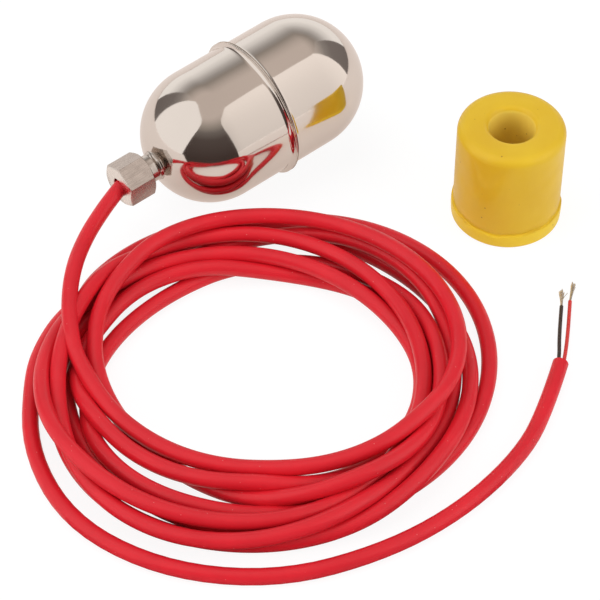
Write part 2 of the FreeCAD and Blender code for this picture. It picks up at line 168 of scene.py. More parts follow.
def unevenness_group():
    """Soft patches: a value that drifts over the surface between Low and High, and its raw height."""
    group, given, result = group_of(
        "Uneven patches",
        [("Vector", "NodeSocketVector", None), ("Scale", "NodeSocketFloat", 40.0),
         ("Detail", "NodeSocketFloat", 3.0), ("Low", "NodeSocketFloat", 0.0),
         ("High", "NodeSocketFloat", 1.0)],
        [("Value", "NodeSocketFloat"), ("Height", "NodeSocketFloat")])
    noise = group.nodes.new("ShaderNodeTexNoise")
    spread = group.nodes.new("ShaderNodeMapRange")
    spread.inputs["From Min"].default_value = 0.3
    spread.inputs["From Max"].default_value = 0.7
    group.links.new(given.outputs["Vector"], noise.inputs["Vector"])
    group.links.new(given.outputs["Scale"], noise.inputs["Scale"])
    group.links.new(given.outputs["Detail"], noise.inputs["Detail"])
    group.links.new(noise.outputs["Fac"], spread.inputs["Value"])
    group.links.new(given.outputs["Low"], spread.inputs["To Min"])
    group.links.new(given.outputs["High"], spread.inputs["To Max"])
    group.links.new(spread.outputs["Result"], result.inputs["Value"])
    group.links.new(noise.outputs["Fac"], result.inputs["Height"])
    return group


uneven_patches = unevenness_group()


class Finish:
    """A material under way: its node tree, its shader and the place on the piece."""

    def __init__(self, name, colour, roughness, metallic=0.0, **sockets):
        self.material = bpy.data.materials.new(name)
        self.material.use_nodes = True
        self.tree = self.material.node_tree
        self.shader = self.tree.nodes["Principled BSDF"]
        self.shader.inputs["Base Color"].default_value = (*colour, 1.0)
        self.shader.inputs["Roughness"].default_value = roughness
        self.shader.inputs["Metallic"].default_value = metallic
        self.feed_all(self.shader, sockets)
        self.place = self.tree.nodes.new("ShaderNodeTexCoord").outputs["Object"]
        self.normal = None

    def feed(self, socket, value):
        """Joins another node's output to the socket, or sets a plain number or colour on it."""
        if isinstance(value, bpy.types.NodeSocket):
            self.tree.links.new(value, socket)
        else:
            socket.default_value = value

    def feed_all(self, node, values):
        """Feeds the node's inputs by their names, written with _ for a space."""
        for label, value in values.items():
            self.feed(node.inputs[label.replace("_", " ")], value)
        return node

    def node(self, kind, **inputs):
        return self.feed_all(self.tree.nodes.new(kind), inputs)

    def effect(self, group, **inputs):
        made = self.tree.nodes.new("ShaderNodeGroup")
        made.node_tree = group
        return self.feed_all(made, inputs)

    def stretched(self, scale, turn=(0, 0, 0), shift=(0, 0, 0)):
        """The place on the piece, turned, pulled out along its axes and shifted."""
        mapping = self.node("ShaderNodeMapping", Vector=self.place)
        mapping.inputs["Location"].default_value = shift
        mapping.inputs["Rotation"].default_value = turn
        mapping.inputs["Scale"].default_value = scale
        return mapping.outputs["Vector"]

    def patches(self, scale, detail=3.0, low=0.0, high=1.0, where=None):
        """Soft patches: Value drifts from low to high, and Height is the raw relief."""
        where = self.place if where is None else where
        return self.effect(uneven_patches, Vector=where, Scale=scale, Detail=detail, Low=low, High=high)

    def mask(self, value, start, end, at_start=0.0, at_end=1.0):
        """Goes from at_start to at_end while the value goes from start to end."""
        made = self.node("ShaderNodeMapRange", Value=value, From_Min=start, From_Max=end,
                         To_Min=at_start, To_Max=at_end)
        return made.outputs["Result"]

    def mix(self, factor, first, second):
        """Colour that goes from first to second."""
        made = self.tree.nodes.new("ShaderNodeMix")
        made.data_type = "RGBA"
        self.feed(made.inputs["Factor"], factor)
        for label, colour in (("A", first), ("B", second)):
            is_plain = not isinstance(colour, bpy.types.NodeSocket)
            self.feed(made.inputs[label], (*colour, 1.0) if is_plain else colour)
        return made.outputs["Result"]

    def paint(self, colour):
        self.feed(self.shader.inputs["Base Color"], colour)

    def film(self, scale, low, high, detail=3.0):
        """The roughness drifts from low to high in soft patches."""
        made = self.patches(scale, detail, low, high)
        self.feed(self.shader.inputs["Roughness"], made.outputs["Value"])
        return made

    def bump(self, height, depth):
        """Relief of this depth in metres, on top of any relief given before."""
        made = self.node("ShaderNodeBump", Height=height, Distance=depth, Strength=1.0)
        if self.normal is not None:
            self.feed(made.inputs["Normal"], self.normal)
        self.normal = made.outputs["Normal"]
        self.feed(self.shader.inputs["Normal"], self.normal)

    def use_on(self, *names):
        """The finish goes on these pieces of the frame."""
        for name in names:
            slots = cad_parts[name].data.materials
            slots.clear()
            slots.append(self.material)


def dimmed(colour, share):
    """The same colour, darker."""
    return tuple(share * c for c in colour)


def polished_steel():
    """A mirror, in patches a little duller or darker, with faint lines from the drawing."""
    finish = Finish("Polished steel", polished_colour, 0.05, metallic=1.0)
    finish.film(70.0, low=0.05, high=0.11, detail=6.0)
    tone = finish.patches(18.0, detail=2.0)
    finish.paint(finish.mix(tone.outputs["Value"], dimmed(polished_colour, 0.93), polished_colour))
    wave = finish.patches(26.0, detail=1.0)
    finish.bump(wave.outputs["Height"], depth=0.0006)
    drawn = finish.patches(1.0, detail=2.0, where=finish.stretched(scale=(20, 420, 420)))
    finish.bump(drawn.outputs["Height"], depth=0.000004)
    return finish


polished = polished_steel()
shell_gland = turned("float_shell_with_gland", shell_outline(-1, stem_r), polished, float_axes, large_sides)
shell_dome = turned("float_shell_closed", shell_outline(1, 0.0), polished, float_axes, large_sides)
stands_for(shell_gland, "float_shell_gland")
stands_for(shell_dome, "float_shell_dome")

# ---------------------------------------------------------------- gland
# A turned stem is welded into one cup. A hexagon nut runs on it and squeezes a rubber bush
# on the cable, with a thin washer between the two.

stem_bore_r = 0.0037
stem_inside = 0.006
stem_edge = 0.0004
stem_seat = 0.0018
stem_sides = 96
groove_depth = 0.0005
groove_width = 0.0004
collar_r = 0.0068
neck_length = 0.005
neck_r = 0.0062
foot_hollow = 0.0003
thread_length = 0.006
nut_flats = 0.018
nut_length = 0.0135
nut_wall = 0.0024
nut_face_r = 0.0088
nut_chamfer = 0.0009
nut_near_chamfer = 0.0010
nut_turn = math.radians(5)
nut_hole_r = 0.0037
nut_sides = 144
worn_width = 0.00012
turned_colour = (0.72, 0.675, 0.63)
turned_shade = (0.46, 0.41, 0.37)
# The nut's colour is steel with a red cast painted in: partly its own colour, partly a painted reflection
# of the red cable.
nut_steel_and_red_reflection = (0.59, 0.515, 0.465)
cut_colour = (0.84, 0.80, 0.75)
rubber_colour = (0.02, 0.02, 0.021)
nut_near_x = -(pole_x + neck_length)
nut_end_x = nut_near_x - nut_length
nut_corner_r = nut_flats / 2 / math.cos(math.pi / 6)


def stem_outline():
    """From the thread in the nut over the neck and its sharp foot to the weld on the dome."""
    thread_end = nut_near_x - thread_length
    foot_x = -pole_x - 0.0004
    weld_x = -straight_half - math.sqrt(body_r ** 2 - collar_r ** 2)
    inner_end = -pole_x + stem_inside
    thread = [(thread_end, stem_r - stem_edge), (thread_end + stem_edge, stem_r),
              (nut_near_x - 0.0002, stem_r)]
    groove = [(nut_near_x, stem_r - groove_depth), (nut_near_x + groove_width, stem_r - groove_depth)]
    neck = [(nut_near_x + 0.0006, neck_r), (foot_x - 0.0010, neck_r),
            (foot_x - 0.0006, neck_r - foot_hollow), (foot_x - 0.0002, neck_r)]
    collar = [(foot_x, neck_r + 0.0003), (foot_x + 0.0004, collar_r - 0.0002),
              (foot_x + 0.0007, collar_r), (weld_x - 0.0002, collar_r)]
    weld = [(weld_x + 0.0001, collar_r + 0.0001), (weld_x + 0.0003, collar_r)]
    inside = [(-pole_x + stem_seat, stem_r), (inner_end, stem_r), (inner_end, stem_bore_r),
              (thread_end, stem_bore_r)]
    return thread + groove + neck + collar + weld + inside


def nut_outline(angle):
    """Section of the hexagon at this angle, with its turned chamfers, pocket and cable hole."""
    from_flat = (angle - nut_turn + math.pi / 6) % (math.pi / 3) - math.pi / 6
    flat_r = nut_flats / 2 / math.cos(from_flat)
    over = max(flat_r - nut_face_r, 0) / (nut_corner_r - nut_face_r)
    face_r = min(flat_r, nut_face_r)
    pocket_x = nut_end_x + nut_wall
    hole_edge = 0.0004
    outside = [(nut_end_x, nut_hole_r + hole_edge), (nut_end_x, face_r),
               (nut_end_x + nut_chamfer * over, flat_r), (nut_near_x - nut_near_chamfer * over, flat_r),
               (nut_near_x, face_r)]
    inside = [(nut_near_x, stem_r), (pocket_x, stem_r), (pocket_x, nut_hole_r),
              (nut_end_x + hole_edge, nut_hole_r)]
    return outside + inside


def brushing_group():
    """Fine parallel scratches along X of the vector given: a relief and a light and dark."""
    group, given, result = group_of(
        "Brushed lines",
        [("Vector", "NodeSocketVector", None), ("Across", "NodeSocketFloat", 4000.0),
         ("Along", "NodeSocketFloat", 60.0)],
        [("Height", "NodeSocketFloat"), ("Shade", "NodeSocketFloat")])
    pull = group.nodes.new("ShaderNodeCombineXYZ")
    for axis, source in (("X", "Along"), ("Y", "Across"), ("Z", "Across")):
        group.links.new(given.outputs[source], pull.inputs[axis])
    stretch = group.nodes.new("ShaderNodeVectorMath")
    stretch.operation = "MULTIPLY"
    fine = group.nodes.new("ShaderNodeTexNoise")
    fine.inputs["Scale"].default_value = 1.0
    fine.inputs["Detail"].default_value = 3.0
    shade = group.nodes.new("ShaderNodeMapRange")
    shade.inputs["From Min"].default_value = 0.35
    shade.inputs["From Max"].default_value = 0.65
    group.links.new(given.outputs["Vector"], stretch.inputs[0])
    group.links.new(pull.outputs["Vector"], stretch.inputs[1])
    group.links.new(stretch.outputs["Vector"], fine.inputs["Vector"])
    group.links.new(fine.outputs["Fac"], shade.inputs["Value"])
    group.links.new(fine.outputs["Fac"], result.inputs["Height"])
    group.links.new(shade.outputs["Result"], result.inputs["Shade"])
    return group


brushed_lines = brushing_group()


def turned_steel():
    """Rings left by the tool, across the stem's axis, and darker patches from the weld's heat."""
    finish = Finish("Turned steel", turned_colour, 0.13, metallic=1.0)
    along_stem = finish.stretched((1, 1, 1), turn=(0, float_tilt, math.pi / 2))
    rings = finish.effect(brushed_lines, Vector=along_stem, Across=2600.0, Along=30.0)
    finish.bump(rings.outputs["Height"], depth=0.000008)
    finish.film(260.0, low=0.08, high=0.2)
    heat = finish.patches(420.0)
    finish.paint(finish.mix(heat.outputs["Value"], turned_colour, turned_shade))
    return finish


def brushed_nut():
    """Bar stock with the drawing lines still on its flats and a brighter end where it was cut."""
    # Painted reflection: the red cast in the nut's colour stands in for the cable mirrored in its faces.
    finish = Finish("Brushed nut", nut_steel_and_red_reflection, 0.3, metallic=1.0)
    along_nut = finish.stretched((1, 1, 1), turn=(0, float_tilt, 0))
    scratch = finish.effect(brushed_lines, Vector=along_nut, Across=5200.0, Along=160.0)
    flats = finish.mix(scratch.outputs["Shade"], dimmed(nut_steel_and_red_reflection, 0.72), nut_steel_and_red_reflection)
    finish.bump(scratch.outputs["Height"], depth=0.00003)
    end_x = (Matrix.Rotation(float_tilt, 4, "Y") @ float_middle).x + nut_end_x
    along = finish.node("ShaderNodeSeparateXYZ", Vector=along_nut)
    cut_end = finish.mask(along.outputs["X"], end_x + nut_chamfer, end_x + 0.0001)
    finish.paint(finish.mix(cut_end, flats, cut_colour))
    finish.film(300.0, low=0.18, high=0.32)
    return finish


def gland_rubber():
    finish = Finish("Gland rubber", rubber_colour, 0.7)
    grain = finish.film(2400.0, low=0.55, high=0.85, detail=4.0)
    finish.bump(grain.outputs["Height"], depth=0.00002)
    return finish


turned_finish = turned_steel()
turned_finish.use_on("gland_washer")
stem = turned("gland_stem_turned", stem_outline(), turned_finish, float_axes, stem_sides)
stands_for(stem, "gland_stem")
nut = turned("gland_nut_hexagon", nut_outline, brushed_nut(), float_axes, nut_sides)
worn_edge = nut.modifiers.new("worn edges", "BEVEL")
worn_edge.width = worn_width
worn_edge.segments = 2
worn_edge.limit_method = "ANGLE"
worn_edge.angle_limit = math.radians(35)
worn_edge.harden_normals = True
stands_for(nut, "gland_nut")
gland_rubber().use_on("gland_seal")

# ---------------------------------------------------------------- cable jacket
# One length of two-core cable in a red silicone jacket. It leaves the gland, drops on to
# eight loose turns that nothing ties, and its free end runs round the outside on the floor.

cable_d = 0.0068
jacket_colour = (0.725, 0.013, 0.025)
lint_colour = (0.75, 0.30, 0.28)
millimetre = 0.001
steps_a_turn = 36

# Routes and turns are in millimetres. The tail lies on the floor, so it has no heights.
lead_route = [
    (-75.5, 42.7, 27.6), (-79.5, 42.6, 27.1), (-84.0, 41.6, 25.9), (-94.0, 37.6, 24.4),
    (-108.0, 30.2, 23.2), (-122.0, 19.6, 22.0), (-134.5, 5.0, 20.4), (-144.0, -11.0, 18.6)]
tail_route = [
    (-184.5, -37.5), (-192.0, -78.5), (-176.5, -119.0), (-144.5, -150.0), (-104.0, -164.5),
    (-66.0, -167.5), (-28.0, -160.5), (-3.0, -146.8), (15.1, -134.1)]

# Every turn where it starts: its radius, how far it lies off the coil's middle, towards its
# start and a quarter turn on, and how oval it is the same two ways. The last line is the end.
coil_middle = (-85.9, -63.6)
coil_start = 141.9
loose_turns = [
    (86, -6, -34, -3, 4), (69, -2, -3, 3, -6), (70, -2, 6, 2, 5), (68, 5, 4, 6, -3),
    (74, 8, 8, 4, 1), (78, 10, 7, -4, 3), (82, -2, 4, 1, 6), (82, -1, 0, 0, -3),
    (90, -5, -8, 10, 11)]
# Which turn lies on which, from the floor up, from each bearing on. 9 is the free end.
stacking = [(-30, "987634521"), (25, "987624351"), (110, "987643251"), (212, "987623541")]


def smooth_between(rows, steps):
    """Values that pass smoothly through the rows, with this many steps from row to row."""
    rows = np.array(rows, float)
    before = 2 * rows[0] - rows[1]
    after = 2 * rows[-1] - rows[-2]
    padded = np.vstack([before, rows, after])
    found = []
    for k in range(len(rows) - 1):
        a, b, c, d = padded[k:k + 4]
        bend = 2 * a - 5 * b + 4 * c - d
        turn_back = 3 * (b - c) + d - a
        for t in np.arange(steps) / steps:
            found.append(b + 0.5 * t * (c - a + t * (bend + t * turn_back)))
    return np.array(found + [rows[-1]])


def place_in_stack(step):
    """How many turns lie under this step of the coil, by the order at its bearing."""
    degrees = step * 360 // steps_a_turn
    turn = min((degrees + 15) // 360 + 1, len(loose_turns))
    bearing = (degrees + 30) % 360 - 30
    order = [turns for start, turns in stacking if start <= bearing][-1]
    return order.index(str(turn))


def stacked_heights(r, level, d):
    """A first height for every step: on top of those that lie under it at its bearing."""
    z = np.full(len(r), d / 2)
    for i in np.argsort(level, kind="stable"):
        for j in range(i % steps_a_turn, len(r), steps_a_turn):
            if level[j] < level[i] and abs(r[j] - r[i]) < d:
                z[i] = max(z[i], z[j] + math.sqrt(d * d - (r[j] - r[i]) ** 2))
    return z


def settled(radius, d, rounds=400, pushes=3, fall=0.25, hold=0.02, stiff=0.35):
    """The turns come to rest on each other: each step falls, keeps near its radius and its
    neighbours, and is pushed out of every turn that it would run into. The first turn stays
    on top where it crosses others, and the turns from the seventh on stay in their order."""
    top_end, bottom_start = steps_a_turn, 6 * steps_a_turn
    count = len(radius)
    level = np.array([place_in_stack(i) for i in range(count)])
    r = radius.copy()
    z = stacked_heights(r, level, d)
    for n in range(rounds):
        z -= fall * (1 - n / rounds)
        r += hold * (radius - r)
        bend = r - radius
        bend[1:-1] += stiff * (0.5 * (bend[:-2] + bend[2:]) - bend[1:-1])
        r = radius + bend
        z[1:-1] += stiff * (0.5 * (z[:-2] + z[2:]) - z[1:-1])
        for _ in range(pushes):
            for turns_apart in range(1, len(loose_turns)):
                i = np.arange(0, count - turns_apart * steps_a_turn)
                j = i + turns_apart * steps_a_turn
                dr, dz = r[j] - r[i], z[j] - z[i]
                crossing = (np.abs(dr) < 0.5 * d) & ((i < top_end) | (j >= bottom_start))
                upper = np.where(i < top_end, -1, np.sign(level[j] - level[i]))
                lift = np.maximum(np.sqrt(np.maximum(d * d - dr * dr, 0)) - upper * dz, 0)
                rise = np.where(crossing, 0.5 * lift * upper, 0)
                gap = np.hypot(dr, dz) + 1e-9
                push = np.where(crossing, 0, 0.5 * np.maximum(d - gap, 0) / gap)
                r[i] -= push * dr
                r[j] += push * dr
                z[i] -= push * dz + rise
                z[j] += push * dz + rise
            z = np.maximum(z, d / 2)
    return r, z


def coil_route():
    """Points of the loose turns, from the one that the lead comes down on to the free end."""
    turns = smooth_between(loose_turns, steps_a_turn)
    angle = np.arange(len(turns)) * 2 * math.pi / steps_a_turn
    waves = [np.ones(len(angle)), np.cos(angle), np.sin(angle), np.cos(2 * angle), np.sin(2 * angle)]
    wanted = sum(wave * turns[:, k] for k, wave in enumerate(waves))
    radius, height = settled(wanted, cable_d / millimetre)
    # The smooth line runs inside its corners, so the corners stand out by as much.
    radius = radius / math.cos(math.pi / steps_a_turn)
    angle = angle + math.radians(coil_start)
    x = coil_middle[0] + radius * np.cos(angle)
    y = coil_middle[1] + radius * np.sin(angle)
    return list(zip(x, y, height))


def round_line(name, routes, r, finish, sides=6):
    """Round lengths, each on its own smooth line through the route's corners, as one piece."""
    curve = bpy.data.curves.new(name, "CURVE")
    curve.dimensions = "3D"
    curve.bevel_depth = r
    curve.bevel_resolution = sides
    curve.use_fill_caps = True
    for route in routes:
        spline = curve.splines.new("NURBS")
        spline.points.add(len(route) - 1)
        for point, place in zip(spline.points, route):
            point.co = (*(millimetre * c for c in place), 1.0)
        spline.order_u = 3
        spline.use_endpoint_u = True
        spline.resolution_u = 6
    curve.materials.append(finish.material)
    return placed(name, curve)


def silicone_jacket():
    """Silicone with a soft sheen, a little duller in places, with a few specks of lint."""
    finish = Finish("Red silicone", jacket_colour, 0.45, Specular_IOR_Level=0.2, Coat_Weight=0.32,
                    Coat_Roughness=0.10)
    tone = finish.patches(45.0, detail=4.0)
    body = finish.mix(tone.outputs["Value"], dimmed(jacket_colour, 0.86), jacket_colour)
    lint = finish.node("ShaderNodeTexVoronoi", Vector=finish.place, Scale=260.0)
    speck = finish.mask(lint.outputs["Distance"], 0.035, 0.06, at_start=0.55, at_end=0.0)
    finish.paint(finish.mix(speck, body, lint_colour))
    film = finish.film(160.0, low=0.38, high=0.54, detail=5.0)
    finish.bump(film.outputs["Height"], depth=0.00006)
    return finish


red_silicone = silicone_jacket()
resting_height = 0.5 * cable_d / millimetre
cable_points = lead_route + coil_route() + [(x, y, resting_height) for x, y in tail_route]
cable = round_line("cable", [cable_points], cable_d / 2, red_silicone)
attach(cable, "root")
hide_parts("cable_lead", "cable_coil", "cable_tail")

# ---------------------------------------------------------------- cores and strands
# The jacket is cut back from two thin cores, one black and one red, and each core is cut
# back from its fine tinned strands, which have spread a little.

core_r = 0.00082
core_offset = 1.1
core_straight = 2.5
red_pvc = (0.62, 0.035, 0.035)
strand_wire_r = 0.00015
strand_inner_ring = 0.16
strand_outer_ring = 0.36
strand_colour = (0.78, 0.745, 0.70)
tail_end = np.array([*tail_route[-1], resting_height])
tail_heading = np.array([0.819, 0.574, 0.0])
tail_across = np.array([-0.574, 0.819, 0.0])


def core_sheath(name, colour):
    finish = Finish(name, colour, 0.28)
    film = finish.film(700.0, low=0.2, high=0.38)
    finish.bump(film.outputs["Height"], depth=0.00002)
    return finish


def tinned_strand():
    finish = Finish("Tinned strand", strand_colour, 0.24, metallic=1.0)
    finish.film(1500.0, low=0.16, high=0.36)
    return finish


strand_finish = tinned_strand()
spread = np.random.default_rng(11)


def bare_strands(name, start, end, count, stray=None):
    """Strands that leave the core side by side and open out towards their ends."""
    start, end = np.array(start), np.array(end)
    along = (end - start) / np.linalg.norm(end - start)
    side = np.cross(along, (0, 0, 1))
    side = side / np.linalg.norm(side)
    up = np.cross(side, along)
    routes = []
    for k in range(count):
        turn = 2 * math.pi * k / count
        out = side * math.cos(turn) + up * math.sin(turn)
        ring = strand_outer_ring if k % 2 else strand_inner_ring
        lean = spread.uniform(0.3, 1.5)
        reach = spread.uniform(0.86, 1.04)
        far = start + (end - start) * reach + out * lean
        middle = start + (end - start) * 0.5 + out * (ring + 0.25 * lean)
        points = [start - along * 0.8 + out * ring, start + along * 2.0 + out * ring, middle, far]
        routes.append([(x, y, max(z, strand_wire_r / millimetre)) for x, y, z in points])
    if stray:
        routes.append([tuple(start), *stray])
    return round_line(name, routes, strand_wire_r, strand_finish, sides=2)


def core(name, side, bend, end, finish):
    """A core from inside the jacket's cut end, straight at first, then bent to its own end."""
    start = tail_end + side * core_offset * tail_across
    route = [tuple(start), tuple(start + core_straight * tail_heading), bend, end]
    return round_line(name, [route], core_r, finish)


black_end, red_end = (37.6, -109.8, 2.0), (42.8, -109.5, 1.4)
core_black = core("core_black_sheath", 1, (25.6, -121.6, 2.9), black_end,
                  core_sheath("Black core", (0.040, 0.027, 0.023)))
core_red = core("core_red_sheath", -1, (29.5, -122.9, 2.6), red_end, core_sheath("Red core", red_pvc))
strands_black = bare_strands("black_core_strands", black_end, (44.0, -103.0, 1.6), 16,
                             stray=[(40.0, -107.0, 2.6), (44.5, -106.0, 2.4)])
strands_red = bare_strands("red_core_strands", red_end, (51.0, -102.8, 1.2), 18)
stands_for(core_black, "core_black")
stands_for(core_red, "core_red")
stands_for(strands_black, "strands_black")
stands_for(strands_red, "strands_red")

# ---------------------------------------------------------------- counterweight
# A heavy casting with a hole for the cable, dipped in thick yellow coating. The coating
# rounds its edges, is paler on the foot, and has gathered in an uneven band round the foot.
# Its bore is painted paler still, as painted light in the bore's shade, and its pits are painted dark as
# shade.

yellow = (0.775, 0.505, 0.021)
deeper_yellow = (0.71, 0.43, 0.015)
foot_yellow = (0.86, 0.59, 0.024)
# Painted light: the bore is painted paler than the coating, standing in for light in its shade.
bore_painted_light = (0.90, 0.66, 0.11)
# Painted shade: the pits are only dark dots in the colour.
pit_shade_colour = (0.30, 0.12, 0.01)
weight_low, weight_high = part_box("counterweight")
weight_middle = (weight_low + weight_high) / 2
weight_height = weight_high.z - weight_low.z
weight_foot_r = (weight_high.x - weight_low.x) / 2
band_reach = 0.0008
weight_r = weight_foot_r - band_reach
weight_bore_r = 0.010
weight_mouth = 0.0026
weight_shoulder = 0.0042
foot_height = 0.0074
# The band's waves: how high as a share of the foot, how many go round, and where they start.
band_waves = [(0.08, 2, 0.4), (0.05, 5, 0.0), (0.035, 13, 1.0)]
notch_depth = 0.16
notch_bearing = math.radians(236)
notch_width = 0.09


def weight_outline(angle):
    """Up the bore, over the mouth and the shoulder, and down the side to the foot, at this
    angle round the weight. The band at the foot is higher and lower as it goes round."""
    ripple = sum(share * math.sin(count * angle + start) for share, count, start in band_waves)
    notch = notch_depth * math.exp(-((angle - notch_bearing) / notch_width) ** 2)
    band = foot_height * (1 + ripple - notch)
    top = weight_height
    side_low, side_high = band + 0.0011, top - weight_shoulder
    bore = [(top * k / 6, weight_bore_r) for k in range(6)]
    mouth = arc(top - weight_mouth, weight_bore_r + weight_mouth, weight_mouth, -90, 0, 8)
    shoulder = arc(side_high, weight_r - weight_shoulder, weight_shoulder, 0, 90, 8)
    side = [(side_low + (side_high - side_low) * (1 - k / 14), weight_r) for k in range(1, 15)]
    crest = [(band + 0.0004, weight_r - 0.0003), (band, weight_r - 0.0001),
             (band - 0.0003, weight_r + 0.8 * band_reach), (band - 0.0010, weight_foot_r)]
    foot = [(0.5 * band, weight_foot_r), (0.0008, weight_foot_r - 0.0002), (0.0, weight_foot_r - 0.0009)]
    return bore + mouth + shoulder + side + crest + foot


def yellow_coating():
    """Thick coating: patches of deeper colour, paler on the foot, a bore painted paler as painted light,
    soft gloss, a little ripple and small pits painted as dark dots of shade.
    """
    finish = Finish("Yellow coating", yellow, 0.45, Specular_IOR_Level=0.2, Coat_Weight=0.3,
                    Coat_Roughness=0.12)
    tone = finish.patches(38.0)
    body = finish.mix(tone.outputs["Value"], yellow, deeper_yellow)
    height = finish.node("ShaderNodeSeparateXYZ", Vector=finish.place)
    on_foot = finish.mask(height.outputs["Z"], foot_height + 0.0004, foot_height - 0.0006)
    body = finish.mix(on_foot, body, foot_yellow)
    off_axis = finish.node("ShaderNodeVectorMath")
    off_axis.operation = "LENGTH"
    from_axis = finish.stretched((1, 1, 0), shift=(-weight_middle.x, -weight_middle.y, 0))
    finish.feed(off_axis.inputs[0], from_axis)
    # Painted light in the bore: its wall takes the paler painted colour.
    in_bore = finish.mask(off_axis.outputs["Value"], weight_bore_r + 0.0004, weight_bore_r + 0.00005)
    body = finish.mix(in_bore, body, bore_painted_light)
    # Painted shade in the pits: small dark dots in the colour, with no hollow in the surface.
    pits = finish.node("ShaderNodeTexVoronoi", Vector=finish.place, Scale=150.0)
    pit = finish.mask(pits.outputs["Distance"], 0.03, 0.07, at_start=0.8, at_end=0.0)
    finish.paint(finish.mix(pit, body, pit_shade_colour))
    finish.film(90.0, low=0.38, high=0.54, detail=4.0)
    ripple = finish.patches(60.0, detail=2.0)
    finish.bump(ripple.outputs["Height"], depth=0.0006)
    grain = finish.patches(1100.0)
    finish.bump(grain.outputs["Height"], depth=0.00004)
    return finish


weight_place = Matrix.Translation((weight_middle.x, weight_middle.y, weight_low.z))
upright = weight_place @ Matrix.Rotation(-math.pi / 2, 4, "Y")
counterweight = turned("counterweight_casting", weight_outline, yellow_coating(), upright, large_sides)
stands_for(counterweight, "counterweight")

# ---------------------------------------------------------------- carrier
# Two moulded nylon halves, screwed together, hold the ball's race and the switch inside the
# sealed float.

nylon_colour = (0.80, 0.80, 0.77)
creamier_nylon = (0.76, 0.74, 0.68)
screw_colour = (0.70, 0.69, 0.66)
bluer_screw = (0.62, 0.66, 0.72)


def moulded_nylon():
    finish = Finish("White nylon", nylon_colour, 0.5, Subsurface_Weight=0.1)
    grain = finish.film(900.0, low=0.42, high=0.6)
    finish.bump(grain.outputs["Height"], depth=0.00003)
    flow = finish.patches(60.0, detail=2.0)
    finish.paint(finish.mix(flow.outputs["Value"], nylon_colour, creamier_nylon))
    return finish


def plated_screw():
    finish = Finish("Plated screw", screw_colour, 0.3, metallic=1.0)
    film = finish.film(1200.0, low=0.22, high=0.42)
    finish.paint(finish.mix(film.outputs["Height"], screw_colour, bluer_screw))
    return finish


moulded_nylon().use_on("carrier_lower", "carrier_upper")
plated_screw().use_on("carrier_screws")

# ---------------------------------------------------------------- ball
# A ground and hardened steel ball, loose in the race between the two carrier halves. It
# rolls to the low end when the float tips and leans on the switch's lever there.


def bearing_steel():
    finish = Finish("Bearing steel", (0.80, 0.80, 0.80), 0.06, metallic=1.0)
    finish.film(500.0, low=0.04, high=0.1, detail=4.0)
    return finish


bearing_steel().use_on("steel_ball")

# ---------------------------------------------------------------- switch
# A snap-action switch: a moulded case and cover, a spring steel lever on its pin, a red
# plunger, a brass contact arm and three brass terminals. Two leads go to the cable.

brass_colour = (0.78, 0.58, 0.26)
stained_brass = (0.66, 0.45, 0.2)


def moulded_phenolic():
    finish = Finish("Black phenolic", (0.028, 0.028, 0.031), 0.45)
    grain = finish.film(1400.0, low=0.36, high=0.56, detail=4.0)
    finish.bump(grain.outputs["Height"], depth=0.00002)
    return finish


def rolled_spring_steel():
    finish = Finish("Spring steel", (0.66, 0.66, 0.65), 0.22, metallic=1.0)
    along_lever = finish.stretched((1, 1, 1), turn=(0, math.pi / 2, 0))
    roll = finish.effect(brushed_lines, Vector=along_lever, Across=7000.0, Along=300.0)
    finish.paint(finish.mix(roll.outputs["Shade"], (0.55, 0.55, 0.55), (0.68, 0.68, 0.67)))
    finish.bump(roll.outputs["Height"], depth=0.000008)
    return finish


def red_acetal():
    finish = Finish("Red acetal", (0.55, 0.03, 0.025), 0.35)
    finish.film(1800.0, low=0.28, high=0.45)
    return finish


def contact_brass():
    finish = Finish("Contact brass", brass_colour, 0.24, metallic=1.0)
    stain = finish.patches(420.0, detail=4.0)
    finish.paint(finish.mix(stain.outputs["Value"], brass_colour, stained_brass))
    finish.film(1500.0, low=0.18, high=0.36)
    return finish


spring_steel = rolled_spring_steel()
moulded_phenolic().use_on("switch_case", "switch_cover")
spring_steel.use_on("switch_lever", "lever_pin")
red_acetal().use_on("switch_plunger")
contact_brass().use_on("contact_arm", "terminal_common", "terminal_live", "terminal_spare")
core_sheath("Black lead", (0.022, 0.021, 0.022)).use_on("inner_lead_black")
core_sheath("Red lead", red_pvc).use_on("inner_lead_red")

# ---------------------------------------------------------------- floor, light and camera
# A white table without an edge, even light with a lamp above and one on either side, and a
# camera that looks down on the set. Polished pieces mirror a room of their own: lit cloths
# and dim walls round the float, a warm ceiling over it and a dark floor in front.

camera_target = (-0.0460, -0.0373, 0.0)
camera_heading = math.radians(38.1)
camera_rise = math.radians(47.5)
camera_distance = 1.1
lens_length = 155.4
sensor_width = 36.0
lamp_size = 1.2
table_half = 4.0
table_level = -0.0002
table_glow = 1.06
table_seen_share = 0.84
table_mirrored_share = 0.6
table_mirrored_colour = (0.885, 0.735, 0.655)
even_light = 0.52
cloth_distance = 2.2
apron_level = 0.0004
dim_wall_colour = (1.0, 0.93, 0.89)
# From the horizon up to straight overhead: how high, and the colour of the room there.
room_colours = [
    (0.0, (0.065, 0.045, 0.040)), (0.52, (0.10, 0.078, 0.070)), (0.68, (0.19, 0.165, 0.15)),
    (0.80, (0.40, 0.35, 0.31)), (0.92, (0.66, 0.57, 0.515))]


def bare_tree(owner):
    """The node tree of a material or of the world, emptied."""
    owner.use_nodes = True
    owner.node_tree.nodes.clear()
    return owner.node_tree


def plain_light(tree, kind, colour, strength=1.0):
    """A shader that is nothing but light of this colour."""
    made = tree.nodes.new(kind)
    made.inputs["Color"].default_value = (*colour, 1.0)
    made.inputs["Strength"].default_value = strength
    return made.outputs[0]


